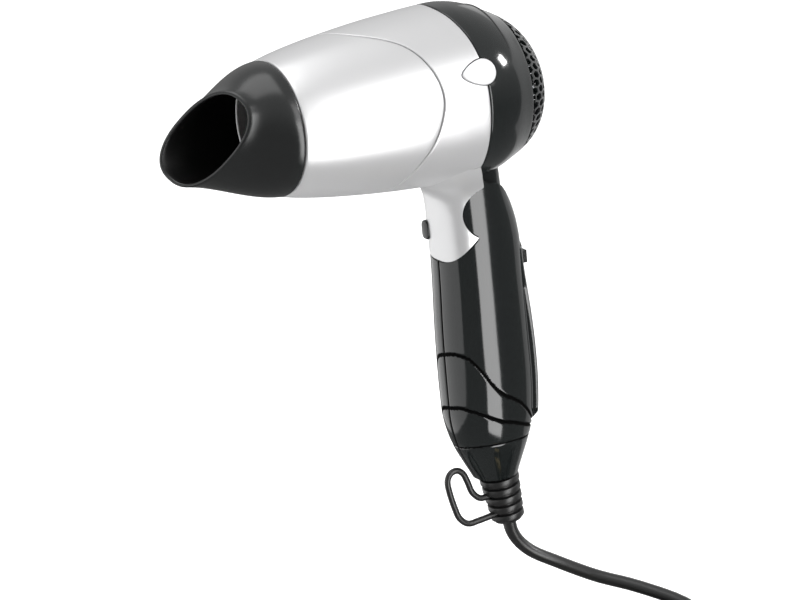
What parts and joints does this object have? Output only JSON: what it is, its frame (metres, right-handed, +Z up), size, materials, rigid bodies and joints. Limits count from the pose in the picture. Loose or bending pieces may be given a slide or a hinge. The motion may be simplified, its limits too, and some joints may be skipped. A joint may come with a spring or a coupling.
{
  "type": "travel hair dryer",
  "caption": "Compact folding hair dryer with a silver barrel, black rear casing and handle, flattened concentrator nozzle, hang loop and mains cord.",
  "frame": {"origin": "middle of the handle's upper grip, 60 mm straight below the fold pin", "axes": "-X the way the air blows, +Z up towards the barrel, +Y the dryer's right side seen from behind the nozzle"},
  "size_m": [0.2206, 0.1368, 0.272],
  "materials": {
    "silver": "satin metallic paint",
    "button_silver": "satin metallic paint",
    "gloss_black": "high gloss",
    "black_plastic": "semi-gloss",
    "mica": "matt",
    "heating_wire": "plain",
    "steel": "plain",
    "board": "matt",
    "terminal": "matt",
    "lead": "matt",
    "rubber": "semi-matt",
    "cord_rubber": "semi-matt",
    "pin_brass": "plain"
  },
  "bodies": {
    "handle": {"handle_left_shell": "gloss_black", "handle_right_shell": "gloss_black", "hinge_pin": "steel", "rear_panel": "gloss_black", "switch_body": "black_plastic", "terminal_block": "terminal", "lead_wires": "lead", "handle_screws": "steel", "cord_clamp": "black_plastic", "strain_relief": "rubber", "hang_loop": "rubber", "power_cord": "cord_rubber", "cord_coil": "cord_rubber", "coil_tie": "cord_rubber", "plug_body": "cord_rubber", "plug_pins": "pin_brass"},
    "head": {"main_housing": "silver", "front_sleeve": "silver", "rear_casing": "gloss_black", "intake_grille": "black_plastic", "filter_mesh": "steel", "outlet_grille": "black_plastic", "mica_tube": "mica", "mica_boards": "mica", "heating_coil": "heating_wire", "thermostat": "steel", "thermal_fuse": "steel", "motor_can": "steel", "motor_mount": "black_plastic", "rectifier_board": "board"},
    "rotor": {"motor_shaft": "steel", "fan": "black_plastic"},
    "nozzle": {"concentrator_nozzle": "black_plastic"},
    "side_button": {"side_button": "button_silver"},
    "release_button": {"release_button": "black_plastic"},
    "switch_knob": {"switch_knob": "black_plastic"}
  },
  "joints": [
    {"name": "fold", "type": "hinge", "parent": "handle", "child": "head", "pos_m": [0, 0, 0.06], "axis": [0, 1, 0], "range_deg": [0, 70]},
    {"name": "nozzle_turn", "type": "hinge", "parent": "head", "child": "nozzle", "pos_m": [0, 0, 0.107], "axis": [0.9984, 0, 0.0558], "continuous": true},
    {"name": "fan_spin", "type": "hinge", "parent": "head", "child": "rotor", "pos_m": [0, 0, 0.107], "axis": [0.9984, 0, 0.0558], "continuous": true},
    {"name": "side_button_press", "type": "slide", "parent": "head", "child": "side_button", "axis": [0.0236, 0.9063, -0.4219], "range_m": [0, 0.0008], "stiffness_N_per_m": 600, "springref_m": -0.0005},
    {"name": "release_press", "type": "slide", "parent": "head", "child": "release_button", "axis": [0.9954, 0, 0.0958], "range_m": [0, 0.0012], "stiffness_N_per_m": 600, "springref_m": -0.0005},
    {"name": "switch_slide", "type": "slide", "parent": "handle", "child": "switch_knob", "axis": [0.0958, 0, -0.9954], "range_m": [0, 0.008]}
  ]
}
